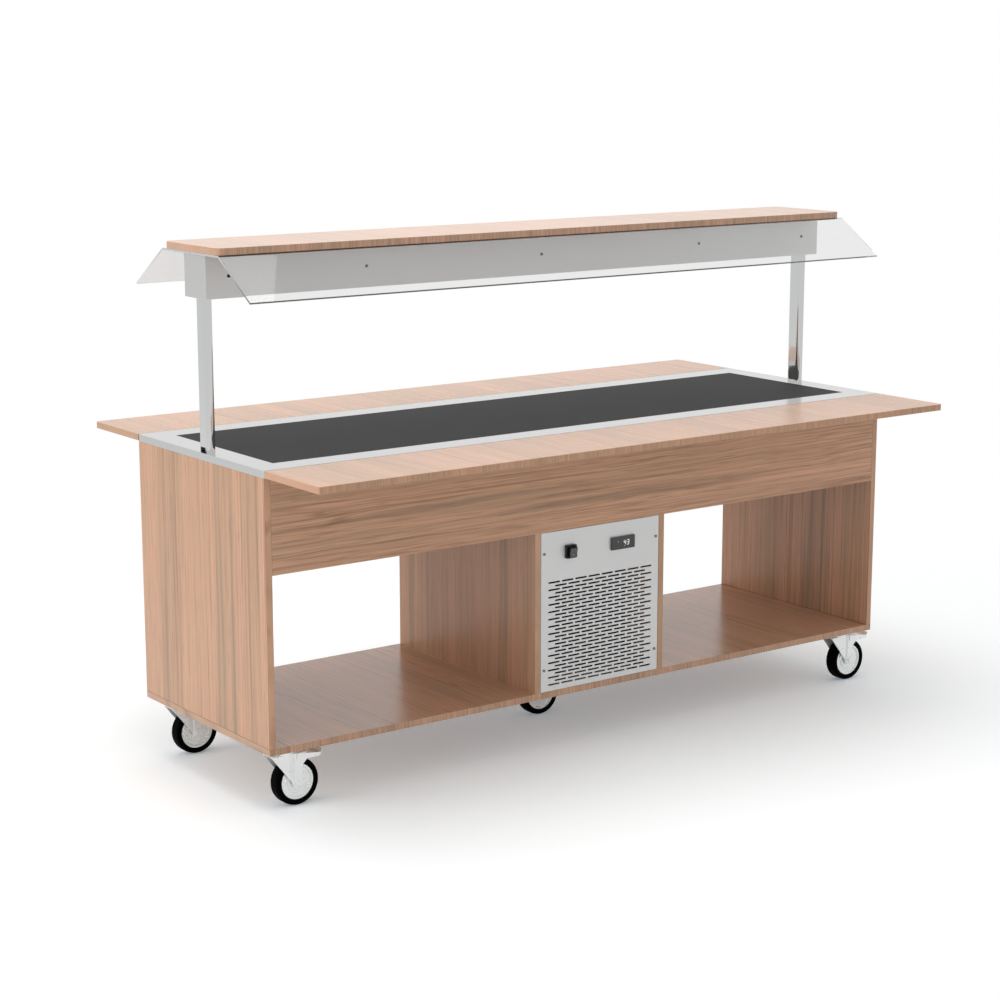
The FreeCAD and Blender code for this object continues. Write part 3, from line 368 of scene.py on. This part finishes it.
finish_of_slot = {
    "oak_apron": oak("oak_apron", X, Y, (0.8, 0.1, 3.3), 0.7, 1.9, rough=0.36),
    "oak_floor": oak("oak_floor", Y, Z, (5.2, 0.6, 0.1), 0.8, 0.6, rough=0.22, gloss=0.6),
    "satin_steel": satin, "zinc": zinc, "opal": white_opal, "white_plastic": white_opal,
    "grey_grille": brushed("grille_panel", (0.65, 0.65, 0.645, 1), 0.45, metal=0.6),
    "wheel_core": plated("wheel_core", (0.92, 0.95, 0.94, 1), rough=0.24, mottle=0.03,
                         metal=0.6),
    "copper": plated("copper", (0.76, 0.42, 0.27, 1), rough=0.28),
    "chrome": polished("chrome", (0.645, 0.64, 0.632, 1)),
    "black_plate": moulded("black_plate", linear(49, 49, 49), rough=0.60, grain=500.0,
                           spec=0.10),
    "black_plastic": moulded("black_plastic", linear(14, 14, 14), rough=0.42, spec=0.3),
    # The rocker's grey face points to -Y; its sides are painted near black as shade.
    "grey_plastic": moulded("rocker", linear(10, 10, 10), rough=0.5, spec=0.2,
                            unshaded_front=linear(98, 98, 98)),
    "dark_window": screen, "black_metal": casing, "black_casing": casing,
    "tyre": moulded("tyre", linear(2, 2, 2), rough=0.6, grain=900.0, depth=0.06 * MM,
                    spec=0.02),
    "foam": moulded("foam", linear(226, 216, 180), rough=0.9, grain=300.0, depth=0.6 * MM),
    # The condenser fins are painted near black, as shade for the dark slots of the grille.
    "aluminium_fins": moulded("fins_painted_shade", linear(14, 14, 15), rough=0.5, grain=400.0,
                              spec=0.2),
}
slot_of = {s["node"]: s["material_slot"] for s in frame["record"]["subparts"]}
for name, obj in nodes.items():
    finish = finish_of.get(name) or finish_of_slot[slot_of[name]]
    if not obj.material_slots:
        obj.data.materials.append(finish)
    for holder in obj.material_slots:
        holder.material = finish


# ------------------------------------------------------------------ small modelled pieces
def finished(name, bm, material, body):
    """Turns a bmesh into a piece that rides on a body."""
    bmesh.ops.recalc_face_normals(bm, faces=bm.faces)
    obj = new_object(name, mesh_of(name, bm))
    obj.data.materials.append(material)
    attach(obj, body)


def slab(bm, outline, origin, rise, depth):
    """A thin slab on a face; its outline is given along the cabinet and rise from origin."""
    inward = rise.cross(ALONG) * depth
    rings = []
    for step in (Vector(), inward):
        rings.append([bm.verts.new(origin + ALONG * u + rise * v + step) for u, v in outline])
    bm.faces.new(rings[0])
    bm.faces.new(rings[1][::-1])
    count = len(outline)
    for k in range(count):
        m = (k + 1) % count
        bm.faces.new((rings[0][k], rings[1][k], rings[1][m], rings[0][m]))


def ring(bm, origin, rise, outer, inner, depth):
    """A thin flat ring on a face."""
    inward = rise.cross(ALONG) * depth
    count = 28
    turns = [2 * math.pi * k / count for k in range(count)]
    loops = []
    for radius, step in ((outer, Vector()), (inner, Vector()), (inner, inward), (outer, inward)):
        loops.append([bm.verts.new(origin + ALONG * (math.cos(turn) * radius)
                                   + rise * (math.sin(turn) * radius) + step)
                      for turn in turns])
    for a, b in zip(loops, loops[1:] + loops[:1]):
        for k in range(count):
            m = (k + 1) % count
            bm.faces.new((a[k], a[m], b[m], b[k]))


def bar(a, b, width):
    """The outline of a bar from a to b with pointed ends."""
    a, b = Vector(a), Vector(b)
    d = (b - a).normalized()
    n = Vector((-d.y, d.x))
    h = width / 2
    return [a, a + d * h + n * h, b - d * h + n * h, b, b - d * h - n * h, a + d * h - n * h]


SEGMENTS = {  # the seven bars of a digit, as corner pairs of a 1 x 2 cell
    "a": ((0, 2), (1, 2)), "b": ((1, 2), (1, 1)), "c": ((1, 1), (1, 0)), "d": ((0, 0), (1, 0)),
    "e": ((0, 1), (0, 0)), "f": ((0, 2), (0, 1)), "g": ((0, 1), (1, 1))}
LIT = {"4": "bcfg", "3": "abcdg"}


def display_digits():
    """Two plain seven-bar digits and two small marks on the controller window."""
    low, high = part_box("controller_window")
    proud, depth = 0.2 * MM, 0.4 * MM
    width, height, lean, thick = 6.2 * MM, 12.8 * MM, 0.8 * MM, 1.3 * MM
    first, pitch = 36.6 * MM, 11.2 * MM
    mark_half, mark_thick = 1.2 * MM, 1.0 * MM
    marks = ((17 * MM, 16.5 * MM), (40 * MM, 2.8 * MM))
    corner = Vector((low.x, low.y - proud, low.z))
    base = (high.z - low.z - height) / 2
    bm = bmesh.new()
    for index, sign in enumerate("43"):
        left = first + index * pitch
        for part in LIT[sign]:
            start, end = [(left + u * width + lean * v, base + v * height / 2)
                          for u, v in SEGMENTS[part]]
            slab(bm, bar(start, end, thick), corner, UP, depth)
    for u, v in marks:
        slab(bm, bar((u - mark_half, v), (u + mark_half, v), mark_thick), corner, UP, depth)
    finished("controller_digits", bm, digit_glow, "cabinet")


def rocker_marks():
    """A bar on the upper half of the rocker's face and a ring on its lower half."""
    proud, depth = 0.15 * MM, 0.3 * MM
    bar_w, bar_h = 0.5 * MM, 2.8 * MM
    ring_outer, ring_inner = 2.6 * MM, 1.8 * MM
    bm = bmesh.new()
    for upper in (True, False):
        # The two halves of the face lean towards each other, the upper one downwards.
        flats = [p for p in nodes["switch_rocker"].data.polygons
                 if p.normal.y < -0.9 and (p.normal.z < -0.1) == upper]
        area = sum(p.area for p in flats)
        centre = sum((p.center * p.area for p in flats), Vector()) / area
        rise = ALONG.cross(flats[0].normal)
        if rise.z < 0:
            rise.negate()
        origin = centre + flats[0].normal * proud
        if upper:
            line = [(-bar_w, -bar_h), (bar_w, -bar_h), (bar_w, bar_h), (-bar_w, bar_h)]
            slab(bm, line, origin, rise, depth)
        else:
            ring(bm, origin, rise, ring_outer, ring_inner, depth)
    finished("rocker_marks", bm, mark_white, "switch_rocker")


display_digits()
rocker_marks()


# ------------------------------------------------------------------ floor, light and camera
FLOOR_SEEN, FLOOR_AS_LIGHT = (0.967, 0.946, 0.928, 1), (0.87, 0.90, 0.92, 1)
FLOOR_LIFT = (0.158, 0.197, 0.219, 1)   # lifts the seen floor and takes the oak's tinge off it
FADE_FROM, FADE_TO = 1.0, 2.5           # the floor turns white over this distance, metres
FLOOR_GLOSS = 0.3                       # how much of that white the gloss shows


def stage_floor():
    """A pale floor that keeps the shadow near the object and fades to white further out."""
    bm = bmesh.new()
    bmesh.ops.create_grid(bm, x_segments=4, y_segments=4, size=60)
    obj = new_object("floor", mesh_of("floor", bm))
    g = Finish("floor")
    rays = g.add("ShaderNodeLightPath").outputs
    direct = g.larger(rays["Is Camera Ray"], rays["Is Glossy Ray"])
    g.set(Base_Color=g.mix(direct, FLOOR_AS_LIGHT, FLOOR_SEEN), Roughness=0.9,
          Specular_IOR_Level=0.0, Emission_Color=FLOOR_LIFT, Emission_Strength=direct)
    position = g.place((0.75, 1.0, 1.0), (0.2, 0.0, 0.0))
    far = g.add("ShaderNodeVectorMath", {0: position}, operation="LENGTH").outputs["Value"]
    fade = g.span(far, FADE_FROM, FADE_TO, smooth=True)
    seen = g.larger(rays["Is Camera Ray"], g.times(rays["Is Glossy Ray"], FLOOR_GLOSS))
    seen = g.larger(seen, rays["Is Transmission Ray"])
    white = g.add("ShaderNodeEmission", {"Color": WHITE, "Strength": 1.0})
    blend = g.add("ShaderNodeMixShader", {
        0: g.times(fade, seen), 1: g.shader.outputs[0], 2: white.outputs[0]})
    g.put(g.tree.nodes["Material Output"].inputs["Surface"], blend.outputs[0])
    obj.data.materials.append(g.material)


def stage_world(strength):
    """A plain world: white where seen directly or in gloss and glass, softer as light."""
    world = bpy.data.worlds.new("studio")
    bpy.context.scene.world = world
    world.use_nodes = True
    g = Graph(world.node_tree)
    back = g.tree.nodes["Background"]
    rays = g.add("ShaderNodeLightPath").outputs
    seen = g.larger(rays["Is Camera Ray"], rays["Is Glossy Ray"])
    seen = g.larger(seen, rays["Is Transmission Ray"])
    g.put(back.inputs["Color"], WHITE)
    g.put(back.inputs["Strength"], g.span(seen, 0.0, 1.0, strength, 1.0))


def aim_at(direction):
    return Vector(direction).to_track_quat("-Z", "Y").to_euler()


def lamp(name, place, aim, size, watts):
    data = bpy.data.lights.new(name, "AREA")
    data.shape = "RECTANGLE"
    data.size, data.size_y = size
    data.energy = watts
    obj = new_object(name, data)
    obj.location = place
    obj.rotation_euler = aim_at(Vector(aim) - Vector(place))
    obj.visible_glossy = False


stage_floor()
stage_world(0.62)
lamp("overhead", (-0.6, 0.2, 4.6), (0.0, 0.0, 0.0), (4.5, 3.0), 92.0)
lamp("left_side", (-5.2, 0.6, 2.2), (0.0, 0.0, 0.6), (3.0, 3.0), 58.0)

camera_data = bpy.data.cameras.new("camera")
camera_data.lens = 80.2
camera_data.sensor_width = 36.0
camera = new_object("camera", camera_data)
camera.location = (-3.73762, -4.96323, 1.89629)
camera.rotation_euler = aim_at((0.579166, 0.790576, -0.198890))
bpy.context.scene.camera = camera
bpy.context.scene.view_settings.view_transform = "Standard"
